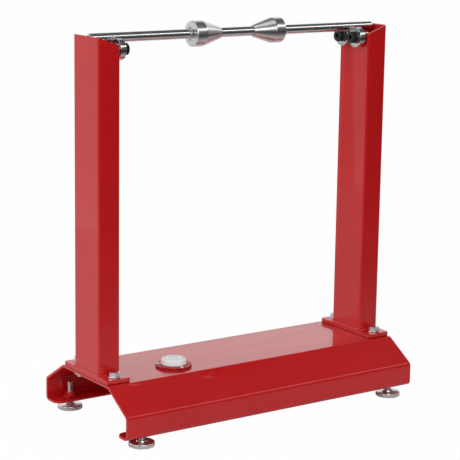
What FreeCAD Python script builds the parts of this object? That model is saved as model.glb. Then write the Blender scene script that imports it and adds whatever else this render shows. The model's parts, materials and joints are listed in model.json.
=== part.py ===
import FreeCAD, Part
import os
import re
import Sketcher

# Wheel balancing stand: a folded steel base, two tube posts and a free turning
# shaft with two centring cones, carried on four ball bearings.
# +X runs along the base, +Y across it, +Z up, with the floor at Z = 0.

doc = FreeCAD.newDocument("balancing_stand")

# Driving dimensions in millimetres, each one free to change by itself.
driving = {
    # folded base
    "baseLength": 440, "baseWidth": 200, "baseTopWidth": 112, "baseSheet": 3,
    "baseLift": 12.5, "sideHeight": 29.5, "baseHeight": 57, "bendRadius": 3,
    "lipWidth": 27, "lipCornerRadius": 11,
    # post tube and its foot plate
    "tubeDepth": 60, "tubeWidth": 30, "tubeWall": 2.5, "tubeCornerRadius": 3.5,
    "postHeight": 410.5, "postSlant": 11, "plateEar": 22, "plateMargin": 1.5,
    "plateThick": 6, "plateCornerRadius": 1.5, "plateEndGap": 0.5, "weldLeg": 3,
    # hexagon fasteners of the plates and the feet
    "boltSize": 8, "boltAcross": 13, "boltHead": 5.3, "nutHeight": 6.5, "boltHole": 9,
    "boltInset": 10.5, "boltTail": 3, "washerSize": 16, "washerThick": 1.6,
    # bearings: bore, outside, width, ball and race sizes
    "bearingBore": 10, "bearingSize": 26, "bearingWidth": 8, "ballSize": 4.7625,
    "raceRadius": 2.48, "raceDepth": 0.68, "raceGap": 0.02, "shieldThick": 0.4,
    "shieldInset": 0.3, "shieldGap": 0.25, "cageThick": 1.5, "cageGap": 0.08,
    "cageLength": 6, "ringChamfer": 0.5,
    "bearingPitch": 27.5, "bearingDrop": 5.4, "spacerThick": 2.5, "spacerClear": 0.3,
    # socket screws that carry the bearings on top-hat spacers
    "screwSize": 8, "screwHeadSize": 14.6, "screwHeadHeight": 8, "screwSocket": 6,
    "screwSocketDepth": 4.5, "screwNutAcross": 13, "screwNutHeight": 6.5, "screwTail": 2,
    "screwFit": 0.02, "screwHole": 8.6, "screwHeadRound": 1,
    # shaft and cones
    "shaftSize": 12, "shaftReach": 26, "shaftChamfer": 1, "rollGap": 0.03,
    "coneSize": 32, "coneBand": 14, "coneLength": 42, "noseWall": 1.2,
    "coneFit": 0.05, "coneChamfer": 0.8, "recessWidth": 2.95, "recessDepth": 2,
    "coneLeft": 69, "coneRight": 65, "grubSize": 6, "grubLength": 7.5, "grubFit": 0.05,
    "grubSocket": 3, "grubSocketDepth": 3,
    # levelling feet
    "footInsetX": 27.8, "footInsetY": 12.4, "padSize": 32, "padThick": 6,
    "padBossSize": 13, "padBossHeight": 7.5, "padCupDepth": 4.5, "padChamfer": 0.8,
    "studSize": 7.9, "studTop": 35.5, "studFit": 0.05, "collarSize": 10.5,
    "collarHeight": 3, "collarFit": 0.1, "padMouth": 9,
    # round bubble level
    "levelInset": 115, "levelY": -22, "levelSize": 46, "levelFlange": 3,
    "levelBody": 32.5, "levelTop": 28, "levelHeight": 8,
    "levelCavity": 24, "levelDomeRise": 1.2, "levelDepth": 6.5, "levelDisc": 1.5,
    "bubbleSize": 8, "bubbleDepth": 1, "levelScrewCircle": 39, "levelScrewHead": 5,
    "levelScrewHeight": 1.4, "levelScrewSize": 2.9, "levelFit": 0.05,
}

# Places and sizes that follow from the driving dimensions.
derived = {
    "baseTop": "baseLift + baseHeight",
    "foldZ": "baseLift + sideHeight",
    "slope": "atan((baseTop - foldZ) / ((baseWidth - baseTopWidth) / 2))",
    "plateTop": "baseTop + plateThick",
    "plateWidth": "tubeWidth + 2 * plateMargin",
    "plateLength": "tubeDepth + 2 * plateEar",
    "levelX": "levelInset - baseLength / 2",
    "postX": "baseLength / 2 - plateEndGap - plateWidth / 2",
    "postFace": "postX - tubeWidth / 2",
    "boltY": "plateLength / 2 - boltInset",
    "bearingZ": "plateTop + postHeight - postSlant - bearingDrop",
    "bearingX": "postFace - spacerThick - bearingWidth",
    "rollRadius": "(bearingSize + shaftSize) / 2 + rollGap",
    "shaftZ": "bearingZ + sqrt(rollRadius ^ 2 - (bearingPitch / 2) ^ 2)",
    "pitchRadius": "(bearingBore + bearingSize) / 4",
    "innerShoulder": "2 * (pitchRadius + raceDepth) - ballSize",
    "outerShoulder": "2 * (pitchRadius - raceDepth) + ballSize",
    "shaftLength": "2 * (postFace + shaftReach)",
    "coneBore": "shaftSize / 2 + coneFit",
    "footX": "baseLength / 2 - footInsetX",
    "footY": "baseWidth / 2 - footInsetY",
    "boltEnd": "baseTop - baseSheet - washerThick - nutHeight - boltTail",
    "screwLength": "bearingWidth + spacerThick + tubeWall + screwNutHeight + screwTail",
}


def fillSheet(name, cells, prefix):
    """One sheet with a name in column A and its value or formula in column B."""
    sheet = doc.addObject("Spreadsheet::Sheet", name)
    for row, (alias, content) in enumerate(cells.items(), start=1):
        sheet.set("A%d" % row, alias)
        sheet.set("B%d" % row, prefix + str(content))
        sheet.setAlias("B%d" % row, alias)
    return sheet


def bound(text):
    """The expression text with each named size pointed at the sheet that holds it."""
    def pointed(word):
        if word.group() in driving:
            return "Sizes." + word.group()
        if word.group() in derived:
            return "Places." + word.group()
        return word.group()
    return re.sub(r"[A-Za-z]\w*", pointed, str(text))


sizes = fillSheet("Sizes", driving, "")
doc.recompute()
places = fillSheet("Places", {name: bound(text).replace("Places.", "")
                              for name, text in derived.items()}, "=")
doc.recompute()


def value(text):
    """The number that an expression gives now."""
    result = sizes.evalExpression(bound(text))
    return float(getattr(result, "Value", result))


# Helpers for bodies and sketches.

nodes = []


def newBody(label, x="0", y="0", z="0", turn=0):
    """An empty body whose place is bound to the sheets; turn is about Z in degrees."""
    body = doc.addObject("PartDesign::Body", label)
    body.Label = label
    body.AllowCompound = True
    body.Placement = FreeCAD.Placement(FreeCAD.Vector(), FreeCAD.Rotation(turn, 0, 0))
    for axis, text in zip("xyz", (x, y, z)):
        body.setExpression("Placement.Base." + axis, bound(text))
    nodes.append(body)
    return body


def newSketch(body, plane, lift="0"):
    """A sketch on one of the body's own origin planes, lifted along the plane's normal."""
    sketch = body.newObject("Sketcher::SketchObject", body.Name + "Sketch")
    support = [item for item in body.Origin.OriginFeatures if item.Role == plane]
    sketch.AttachmentSupport = (support[0], [""])
    sketch.MapMode = "FlatFace"
    sketch.setExpression("AttachmentOffset.Base.z", bound(lift))
    return sketch


def pin(sketch, geometry, point, x, y):
    """Ties one point of a sketch to the place given by two expressions."""
    for kind, axis, text in (("DistanceX", -2, x), ("DistanceY", -1, y)):
        here = value(text)
        if abs(here) < 1e-9:
            sketch.addConstraint(Sketcher.Constraint("PointOnObject", geometry, point, axis))
            continue
        if here > 0:
            ends = (-1, 1, geometry, point)
            sign = ""
        else:
            ends = (geometry, point, -1, 1)
            sign = "-"
        index = sketch.addConstraint(Sketcher.Constraint(kind, *ends, abs(here)))
        sketch.setExpression("Constraints[%d]" % index, "%s(%s)" % (sign, bound(text)))


def outline(sketch, points):
    """A closed outline of straight lines through points given as pairs of expressions."""
    spots = [FreeCAD.Vector(value(x), value(y), 0) for x, y in points]
    first = len(sketch.Geometry)
    count = len(points)
    for index in range(count):
        sketch.addGeometry(Part.LineSegment(spots[index], spots[(index + 1) % count]))
    for index, (x, y) in enumerate(points):
        after = first + (index - 1) % count
        joined = Sketcher.Constraint("Coincident", after, 2, first + index, 1)
        sketch.addConstraint(joined)
        pin(sketch, first + index, 1, x, y)


def circle(sketch, size, x="0", y="0"):
    """A circle of the given diameter."""
    centre = FreeCAD.Vector(value(x), value(y), 0)
    index = sketch.addGeometry(Part.Circle(centre, FreeCAD.Vector(0, 0, 1), value(size) / 2))
    pin(sketch, index, 3, x, y)
    rule = sketch.addConstraint(Sketcher.Constraint("Diameter", index, value(size)))
    sketch.setExpression("Constraints[%d]" % rule, bound(size))


def rectangle(sketch, width, height, x="0", y="0"):
    """A rectangle about its centre."""
    corners = ((-1, -1), (1, -1), (1, 1), (-1, 1))
    outline(sketch, [("%s + (%d) * (%s) / 2" % (x, sideX, width),
                      "%s + (%d) * (%s) / 2" % (y, sideY, height))
                     for sideX, sideY in corners])


def hexagon(sketch, across, x="0", y="0", start=0):
    """A hexagon given by its width across flats."""
    corners = range(start, start + 360, 60)
    outline(sketch, [("%s + (%s) / sqrt(3) * cos(%d)" % (x, across, angle),
                      "%s + (%s) / sqrt(3) * sin(%d)" % (y, across, angle))
                     for angle in corners])


def pad(body, sketch, length, both=False, down=False):
    """Pads a sketch up, down or to both sides."""
    feature = body.newObject("PartDesign::Pad", body.Name + "Pad")
    feature.Profile = sketch
    feature.SideType = "Symmetric" if both else "One side"
    feature.Reversed = down
    feature.setExpression("Length", bound(length))
    sketch.Visibility = False
    doc.recompute()
    return feature


def pocket(body, sketch, length=None, both=False, forward=False):
    """Cuts a sketch to a depth, or right through; forward cuts along the sketch normal."""
    before = body.Shape.Volume
    feature = body.newObject("PartDesign::Pocket", body.Name + "Pocket")
    feature.Profile = sketch
    feature.SideType = "Symmetric" if both else "One side"
    feature.Reversed = forward
    if length is None:
        feature.Type = "ThroughAll"
    else:
        feature.setExpression("Length", bound(length))
    sketch.Visibility = False
    doc.recompute()
    if not body.Shape.Volume < before:
        raise RuntimeError(body.Label + ": a pocket cuts nothing")
    return feature


def revolve(body, sketch, axis):
    """A full turn of a sketch about its own H_Axis or V_Axis."""
    feature = body.newObject("PartDesign::Revolution", body.Name + "Revolution")
    feature.Profile = sketch
    feature.ReferenceAxis = (sketch, [axis])
    feature.Angle = 360
    sketch.Visibility = False
    doc.recompute()
    return feature


def dress(body, kind, size, test):
    """A PartDesign fillet or chamfer on the edges that pass the test."""
    base = body.Tip
    names = ["Edge%d" % (index + 1) for index, edge in enumerate(base.Shape.Edges)
             if test(edge)]
    if not names:
        raise RuntimeError(body.Label + ": no edge to dress")
    feature = body.newObject("PartDesign::" + kind, body.Name + kind)
    feature.Base = (base, names)
    feature.setExpression("Radius" if kind == "Fillet" else "Size", bound(size))
    doc.recompute()
    return feature


def near(a, b):
    return abs(a - b) < 1e-4


def alongZ(edge):
    """True for a straight edge that stands upright."""
    first = edge.firstVertex().Point
    last = edge.lastVertex().Point
    return near(first.x, last.x) and near(first.y, last.y) and not near(first.z, last.z)


def alongX(edge):
    """True for a straight edge that runs along X."""
    first = edge.firstVertex().Point
    last = edge.lastVertex().Point
    return near(first.y, last.y) and near(first.z, last.z) and not near(first.x, last.x)


sides = {"left": (-1, 180), "right": (1, 0)}
spots = {"front": -1, "rear": 1}


# Folded base.

def makeBase():
    body = newBody("base_channel")
    section = newSketch(body, "YZ_Plane")
    halfWidth = "baseWidth / 2"
    halfTop = "baseTopWidth / 2"
    lipEdge = "baseWidth / 2 - lipWidth"
    innerWall = "baseWidth / 2 - baseSheet"
    outer = [(lipEdge, "baseLift"), (halfWidth, "baseLift"), (halfWidth, "foldZ"),
             (halfTop, "baseTop")]
    inner = [("baseTopWidth / 2 - baseSheet * tan(slope / 2)", "baseTop - baseSheet"),
             (innerWall, "foldZ - baseSheet * tan((90 deg - slope) / 2)"),
             (innerWall, "baseLift + baseSheet"), (lipEdge, "baseLift + baseSheet")]
    mirrored = [("-(%s)" % y, z) for y, z in outer[::-1]]
    mirroredInner = [("-(%s)" % y, z) for y, z in inner[::-1]]
    outline(section, outer + mirrored + mirroredInner + inner)
    pad(body, section, "baseLength", both=True)

    outsides = [(abs(value(y)), value(z)) for y, z in outer[1:]]
    insides = [(abs(value(y)), value(z)) for y, z in inner[:3]]

    def foldEdge(edge, corners):
        point = edge.firstVertex().Point
        return alongX(edge) and any(near(abs(point.y), y) and near(point.z, z)
                                    for y, z in corners)

    dress(body, "Fillet", "bendRadius + baseSheet", lambda edge: foldEdge(edge, outsides))
    dress(body, "Fillet", "bendRadius", lambda edge: foldEdge(edge, insides))
    dress(body, "Fillet", "lipCornerRadius",
          lambda edge: alongZ(edge) and near(abs(edge.firstVertex().Point.y), value(lipEdge)))

    bolts = newSketch(body, "XY_Plane", "baseTop")
    feet = newSketch(body, "XY_Plane", "baseLift + baseSheet")
    for alongSign in (-1, 1):
        for acrossSign in (-1, 1):
            circle(bolts, "boltHole", "%d * postX" % alongSign, "%d * boltY" % acrossSign)
            circle(feet, "boltHole", "%d * footX" % alongSign, "%d * footY" % acrossSign)
    for angle in (-90, 30, 150):
        circle(bolts, "levelScrewSize",
               "levelX + levelScrewCircle / 2 * cos(%d)" % angle,
               "levelY + levelScrewCircle / 2 * sin(%d)" % angle)
    pocket(body, bolts, "baseSheet")
    pocket(body, feet, "baseSheet")


# Posts, their foot plates and the fasteners between them and the base.

def makePost(side):
    sign, turn = sides[side]
    body = newBody("post_" + side, "%d * postX" % sign, "0", "plateTop", turn)
    section = newSketch(body, "XY_Plane")
    rectangle(section, "tubeWidth", "tubeDepth")
    pad(body, section, "postHeight")
    dress(body, "Fillet", "tubeCornerRadius", alongZ)
    hollow = newSketch(body, "XY_Plane")
    rectangle(hollow, "tubeWidth - 2 * tubeWall", "tubeDepth - 2 * tubeWall")
    pocket(body, hollow, forward=True)
    innerSide = value("tubeDepth / 2 - tubeWall")
    dress(body, "Fillet", "tubeCornerRadius - tubeWall",
          lambda edge: alongZ(edge) and near(abs(edge.firstVertex().Point.y), innerSide)
          and near(abs(edge.firstVertex().Point.x), value("tubeWidth / 2 - tubeWall")))

    slant = newSketch(body, "XZ_Plane")
    outline(slant, [("-1.5 * tubeWidth", "postHeight - 2 * postSlant"),
                    ("1.5 * tubeWidth", "postHeight + postSlant"),
                    ("-1.5 * tubeWidth", "postHeight + postSlant")])
    pocket(body, slant, both=True)

    screws = newSketch(body, "YZ_Plane")
    for across in (-1, 1):
        circle(screws, "screwHole", "%d * bearingPitch / 2" % across, "bearingZ - plateTop")
    pocket(body, screws)


def makePlate(side):
    sign, turn = sides[side]
    body = newBody("post_plate_" + side, "%d * postX" % sign, "0", "baseTop", turn)
    section = newSketch(body, "XY_Plane")
    rectangle(section, "plateWidth", "plateLength")
    pad(body, section, "plateThick")
    dress(body, "Fillet", "plateCornerRadius", alongZ)
    holes = newSketch(body, "XY_Plane")
    for across in (-1, 1):
        circle(holes, "boltHole", "0", "%d * boltY" % across)
    pocket(body, holes, forward=True)


def makeWeld(side):
    sign, turn = sides[side]
    body = newBody("post_weld_" + side, "%d * postX" % sign, "0", "plateTop", turn)
    section = newSketch(body, "XY_Plane")
    legX = "min(weldLeg; plateMargin)"
    rectangle(section, "tubeWidth + 2 * %s" % legX, "tubeDepth + 2 * weldLeg")
    pad(body, section, "weldLeg")
    dress(body, "Fillet", "tubeCornerRadius + %s" % legX, alongZ)
    top = value("weldLeg")
    dress(body, "Chamfer", "0.9 * %s" % legX,
          lambda edge: near(edge.firstVertex().Point.z, top)
          and near(edge.lastVertex().Point.z, top))
    hollow = newSketch(body, "XY_Plane")
    rectangle(hollow, "tubeWidth", "tubeDepth")
    pocket(body, hollow, forward=True)


def makePlateFasteners(side):
    sign, turn = sides[side]
    placeX = "%d * postX" % sign
    acrossPlaces = ["%d * boltY" % across for across in (-1, 1)]

    bolts = newBody("plate_bolts_" + side, placeX, "0", "plateTop + washerThick", turn)
    heads = newSketch(bolts, "XY_Plane")
    shanks = newSketch(bolts, "XY_Plane")
    for y in acrossPlaces:
        hexagon(heads, "boltAcross", "0", y)
        circle(shanks, "boltSize", "0", y)
    pad(bolts, heads, "boltHead")
    pad(bolts, shanks, "plateTop + washerThick - boltEnd", down=True)

    upper = newBody("plate_washers_" + side, placeX, "0", "plateTop", turn)
    lower = newBody("plate_back_washers_" + side, placeX, "0",
                    "baseTop - baseSheet - washerThick", turn)
    for washers in (upper, lower):
        rings = newSketch(washers, "XY_Plane")
        for y in acrossPlaces:
            circle(rings, "washerSize", "0", y)
            circle(rings, "boltSize + 0.4", "0", y)
        pad(washers, rings, "washerThick")

    nuts = newBody("plate_nuts_" + side, placeX, "0",
                   "baseTop - baseSheet - washerThick - nutHeight", turn)
    rings = newSketch(nuts, "XY_Plane")
    for y in acrossPlaces:
        hexagon(rings, "boltAcross", "0", y)
        circle(rings, "boltSize", "0", y)
    pad(nuts, rings, "nutHeight")


# Ball bearings and what holds them on the posts.
# Along each bearing's own X axis, X = 0 is the face towards the middle of the stand.

def makeInnerRing(label, x, y, turn):
    body = newBody(label, x, y, "bearingZ", turn)
    section = newSketch(body, "XZ_Plane")
    chamfer = "ringChamfer"
    bore = "bearingBore / 2"
    shoulder = "innerShoulder / 2"
    outline(section, [(chamfer, bore), ("bearingWidth - " + chamfer, bore),
                      ("bearingWidth", bore + " + " + chamfer), ("bearingWidth", shoulder),
                      ("0", shoulder), ("0", bore + " + " + chamfer)])
    revolve(body, section, "H_Axis")
    cutRace(body, "pitchRadius - ballSize / 2 - raceGap + raceRadius")


def makeOuterRing(label, x, y, turn):
    body = newBody(label, x, y, "bearingZ", turn)
    section = newSketch(body, "XZ_Plane")
    chamfer = "ringChamfer"
    rim = "bearingSize / 2"
    shoulder = "outerShoulder / 2"
    outline(section, [("0", shoulder), ("bearingWidth", shoulder),
                      ("bearingWidth", rim + " - " + chamfer),
                      ("bearingWidth - " + chamfer, rim), (chamfer, rim),
                      ("0", rim + " - " + chamfer)])
    revolve(body, section, "H_Axis")
    cutRace(body, "pitchRadius + ballSize / 2 + raceGap - raceRadius")


def cutRace(body, radius):
    """The round-bottomed track for the balls, cut by a groove of circular section."""
    before = body.Shape.Volume
    section = newSketch(body, "XZ_Plane")
    circle(section, "2 * raceRadius", "bearingWidth / 2", radius)
    groove = body.newObject("PartDesign::Groove", body.Name + "Groove")
    groove.Profile = section
    groove.ReferenceAxis = (section, ["H_Axis"])
    groove.Angle = 360
    section.Visibility = False
    doc.recompute()
    if not body.Shape.Volume < before:
        raise RuntimeError(body.Label + ": the race cuts nothing")


def makeShields(label, x, y, turn):
    """The pair of thin dust shields that are pressed into the outer ring."""
    body = newBody(label, x, y, "bearingZ", turn)
    for start in ("shieldInset", "bearingWidth - shieldInset - shieldThick"):
        ring = newSketch(body, "YZ_Plane", start)
        circle(ring, "outerShoulder - 2 * raceGap")
        circle(ring, "innerShoulder + 2 * shieldGap")
        pad(body, ring, "shieldThick")


ballCount = 7


def makeBalls(label, x, y, turn):
    body = newBody(label, x, y, "bearingZ", turn)
    plane = [item for item in body.Origin.OriginFeatures if item.Role == "XY_Plane"][0]
    for index in range(ballCount):
        angle = 360 * index / ballCount
        ball = body.newObject("PartDesign::AdditiveSphere", body.Name + "Sphere")
        ball.AttachmentSupport = (plane, [""])
        ball.MapMode = "FlatFace"
        ball.setExpression("Radius", bound("ballSize / 2"))
        ball.setExpression("AttachmentOffset.Base.x", bound("bearingWidth / 2"))
        ball.setExpression("AttachmentOffset.Base.y", bound("pitchRadius * cos(%r)" % angle))
        ball.setExpression("AttachmentOffset.Base.z", bound("pitchRadius * sin(%r)" % angle))
    doc.recompute()


def makeCage(label, x, y, turn):
    """The moulded cage between the balls: a ring with a round window for each ball."""
    body = newBody(label, x, y, "bearingZ", turn)
    band = newSketch(body, "YZ_Plane", "(bearingWidth - cageLength) / 2")
    circle(band, "2 * pitchRadius + cageThick")
    circle(band, "2 * pitchRadius - cageThick")
    pad(body, band, "cageLength")
    window = newSketch(body, "XZ_Plane")
    circle(window, "ballSize + 2 * cageGap", "bearingWidth / 2")
    cut = pocket(body, window, "pitchRadius + cageThick")
    windows = body.newObject("PartDesign::PolarPattern", body.Name + "Windows")
    windows.Originals = [cut]
    axis = [item for item in body.Origin.OriginFeatures if item.Role == "X_Axis"][0]
    windows.Axis = (axis, [""])
    windows.Angle = 360
    windows.Occurrences = ballCount
    body.Tip = windows
    doc.recompute()


def makeBearing(side, spot):
    sign, turn = sides[side]
    name = "%s_%s" % (side, spot)
    x = "%d * bearingX" % sign
    y = "%d * bearingPitch / 2" % spots[spot]
    makeInnerRing("bearing_inner_" + name, x, y, turn)
    makeOuterRing("bearing_outer_" + name, x, y, turn)
    makeShields("bearing_shields_" + name, x, y, turn)
    makeBalls("bearing_balls_" + name, x, y, turn)
    makeCage("bearing_cage_" + name, x, y, turn)


def makeBearingFasteners(side):
    sign, turn = sides[side]
    x = "%d * bearingX" % sign
    acrossPlaces = ["%d * bearingPitch / 2" % across for across in (-1, 1)]

    screws = newBody("bearing_screws_" + side, x, "0", "bearingZ", turn)
    heads = newSketch(screws, "YZ_Plane")
    shanks = newSketch(screws, "YZ_Plane")
    sockets = newSketch(screws, "YZ_Plane", "-screwHeadHeight")
    for y in acrossPlaces:
        circle(heads, "screwHeadSize", y)
        circle(shanks, "screwSize", y)
        hexagon(sockets, "screwSocket", y)
    pad(screws, heads, "screwHeadHeight", down=True)
    front = -value("screwHeadHeight")
    dress(screws, "Fillet", "screwHeadRound",
          lambda edge: near(edge.firstVertex().Point.x, front)
          and near(edge.lastVertex().Point.x, front))
    pad(screws, shanks, "screwLength")
    pocket(screws, sockets, "screwSocketDepth", forward=True)

    spacers = newBody("bearing_spacers_" + side, "%d * (bearingX + bearingWidth)" % sign,
                      "0", "bearingZ", turn)
    brims = newSketch(spacers, "YZ_Plane")
    sleeves = newSketch(spacers, "YZ_Plane")
    for y in acrossPlaces:
        circle(brims, "innerShoulder - 2 * spacerClear", y)
        circle(brims, "screwSize + 2 * screwFit", y)
        circle(sleeves, "bearingBore - 2 * screwFit", y)
        circle(sleeves, "screwSize + 2 * screwFit", y)
    pad(spacers, brims, "spacerThick")
    pad(spacers, sleeves, "bearingWidth", down=True)

    nuts = newBody("bearing_nuts_" + side, "%d * (postFace + tubeWall)" % sign,
                   "0", "bearingZ", turn)
    rings = newSketch(nuts, "YZ_Plane")
    for y in acrossPlaces:
        hexagon(rings, "screwNutAcross", y, "0", 30)
        circle(rings, "screwSize", y)
    pad(nuts, rings, "screwNutHeight")


# Shaft and centring cones.

def makeShaft():
    body = newBody("shaft", "0", "0", "shaftZ")
    section = newSketch(body, "YZ_Plane")
    circle(section, "shaftSize")
    pad(body, section, "shaftLength", both=True)
    end = value("shaftLength / 2")
    dress(body, "Chamfer", "shaftChamfer",
          lambda edge: near(abs(edge.firstVertex().Point.x), end)
          and near(abs(edge.lastVertex().Point.x), end))


def makeCone(side):
    """A cone whose big end, at its own X = 0, faces the post and whose nose faces inward."""
    turn = 180 if side == "right" else 0
    x = "%d * cone%s" % (sides[side][0], side.capitalize())
    body = newBody("cone_" + side, x, "0", "shaftZ", turn)
    section = newSketch(body, "XZ_Plane")
    outline(section, [
        ("recessDepth", "coneBore"), ("coneLength - coneChamfer", "coneBore"),
        ("coneLength", "coneBore + coneChamfer"), ("coneLength", "coneBore + noseWall"),
        ("coneBand", "coneSize / 2"), ("coneChamfer", "coneSize / 2"),
        ("0", "coneSize / 2 - coneChamfer"), ("0", "coneBore + recessWidth"),
        ("recessDepth", "coneBore + recessWidth")])
    revolve(body, section, "H_Axis")
    # The grub screw points to the rear on both sides: along the sketch plane's own
    # normal on the turned right cone, against it on the left one.
    forward = side == "right"
    sign = 1 if forward else -1
    middle = "(coneBand + recessDepth) / 2"
    hole = newSketch(body, "XZ_Plane")
    circle(hole, "grubSize", middle)
    pocket(body, hole, forward=forward)

    screw = newBody("cone_screw_" + side, x, "0", "shaftZ", turn)
    shank = newSketch(screw, "XZ_Plane", "%d * coneBore" % sign)
    circle(shank, "grubSize - 2 * grubFit", middle)
    pad(screw, shank, "grubLength", down=not forward)
    socket = newSketch(screw, "XZ_Plane", "%d * (coneBore + grubLength)" % sign)
    hexagon(socket, "grubSocket", middle, "0", 30)
    pocket(screw, socket, "grubSocketDepth", forward=not forward)


# Levelling feet.

def makeFootNuts():
    """The four nuts that are welded on the inward lips of the base."""
    body = newBody("foot_weld_nuts", "0", "0", "baseLift + baseSheet")
    rings = newSketch(body, "XY_Plane")
    for alongSign in (-1, 1):
        for acrossSign in (-1, 1):
            x = "%d * footX" % alongSign
            y = "%d * footY" % acrossSign
            hexagon(rings, "boltAcross", x, y)
            circle(rings, "studSize + 2 * studFit", x, y)
    pad(body, rings, "nutHeight")


def makeFoot(side, spot):
    name = "%s_%s" % (side, spot)
    x = "%d * footX" % sides[side][0]
    y = "%d * footY" % spots[spot]
    padBody = newBody("foot_pad_" + name, x, y, "0")
    section = newSketch(padBody, "XZ_Plane")
    cup = "collarSize / 2 + collarFit"
    cupFloor = "padBossHeight - padCupDepth"
    lip = "padBossHeight - 1"
    outline(section, [
        ("0", "0"), ("padSize / 2 - padChamfer", "0"), ("padSize / 2", "padChamfer"),
        ("padSize / 2", "padThick - padChamfer"), ("padSize / 2 - padChamfer", "padThick"),
        ("padBossSize / 2", "padThick"), ("padBossSize / 2", "padBossHeight"),
        ("padMouth / 2", "padBossHeight"), ("padMouth / 2", lip), (cup, lip),
        (cup, cupFloor), ("0", cupFloor)])
    revolve(padBody, section, "V_Axis")

    stud = newBody("foot_stud_" + name, x, y, "padBossHeight - padCupDepth")
    section = newSketch(stud, "XZ_Plane")
    top = "studTop - padBossHeight + padCupDepth"
    outline(section, [
        ("0", "0"), ("collarSize / 2", "0"), ("collarSize / 2", "collarHeight"),
        ("studSize / 2", "collarHeight"), ("studSize / 2", top + " - 1"),
        ("studSize / 2 - 1", top), ("0", top)])
    revolve(stud, section, "V_Axis")


# Round bubble level on the base.

def makeLevel():
    place = ("levelX", "levelY", "baseTop")
    body = newBody("level_housing", *place)
    section = newSketch(body, "XZ_Plane")
    cavity = "levelCavity / 2"
    outline(section, [
        (cavity, "0"), ("levelSize / 2 - 0.5", "0"), ("levelSize / 2", "0.5"),
        ("levelSize / 2", "levelFlange"), ("levelBody / 2", "levelFlange"),
        ("levelTop / 2 + 1", "levelFlange + levelHeight - 1.5"),
        ("levelTop / 2 - 1", "levelFlange + levelHeight"),
        ("0", "levelFlange + levelHeight"), ("0", "levelDisc + levelDepth + levelDomeRise"),
        (cavity, "levelDisc + levelDepth")])
    revolve(body, section, "V_Axis")
    holes = newSketch(body, "XY_Plane")
    for angle in (-90, 30, 150):
        circle(holes, "levelScrewSize + 2 * levelFit",
               "levelScrewCircle / 2 * cos(%d)" % angle,
               "levelScrewCircle / 2 * sin(%d)" % angle)
    pocket(body, holes, "levelFlange", forward=True)

    disc = newBody("level_disc", *place)
    section = newSketch(disc, "XY_Plane")
    circle(section, "levelCavity - 2 * levelFit")
    pad(disc, section, "levelDisc")

    liquid = newBody("level_liquid", *place)
    section = newSketch(liquid, "XZ_Plane")
    wet = "levelCavity / 2 - levelFit"
    under = "levelDisc + levelDepth + levelDomeRise - levelFit"
    outline(section, [
        ("0", "levelDisc + levelFit"), (wet, "levelDisc + levelFit"),
        (wet, "levelDisc + levelDepth - levelFit"),
        ("bubbleSize / 2", "%s - levelDomeRise * bubbleSize / levelCavity" % under),
        ("bubbleSize / 2", under + " - bubbleDepth - levelFit"),
        ("0", under + " - bubbleDepth - levelFit")])
    revolve(liquid, section, "V_Axis")

    bubble = newBody("level_bubble", *place)
    section = newSketch(bubble, "XZ_Plane")
    edge = "bubbleSize / 2 - levelFit"
    outline(section, [
        ("0", under + " - bubbleDepth"), (edge + " - 0.8", under + " - bubbleDepth"),
        (edge, under + " - bubbleDepth / 2 - 0.3"),
        (edge, "%s - levelDomeRise * bubbleSize / levelCavity" % under), ("0", under)])
    revolve(bubble, section, "V_Axis")

    screws = newBody("level_screws", "levelX", "levelY", "baseTop + levelFlange")
    heads = newSketch(screws, "XY_Plane")
    shanks = newSketch(screws, "XY_Plane")
    for angle in (-90, 30, 150):
        x = "levelScrewCircle / 2 * cos(%d)" % angle
        y = "levelScrewCircle / 2 * sin(%d)" % angle
        circle(heads, "levelScrewHead", x, y)
        circle(shanks, "levelScrewSize", x, y)
    pad(screws, heads, "levelScrewHeight")
    pad(screws, shanks, "levelFlange + baseSheet + 3", down=True)


makeBase()
makeFootNuts()
for side in sides:
    makePlate(side)
    makePost(side)
    makeWeld(side)
    makePlateFasteners(side)
    makeBearingFasteners(side)
    makeCone(side)
    for spot in spots:
        makeBearing(side, spot)
        makeFoot(side, spot)
makeShaft()
makeLevel()

doc.recompute()
for item in doc.Objects:
    if "Invalid" in item.State or "Error" in item.State:
        raise RuntimeError(item.Label + " has state " + str(item.State))
os.makedirs("parts", exist_ok=True)
for body in nodes:
    if body.Shape.isNull() or not body.Shape.isValid():
        raise RuntimeError(body.Label + " has no valid shape")
    body.Shape.exportStep("parts/" + body.Label + ".step")
    print(body.Label, len(body.Shape.Solids), round(body.Shape.Volume, 1))
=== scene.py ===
import bpy
import json
import math
import random
from mathutils import Matrix, Vector

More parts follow.
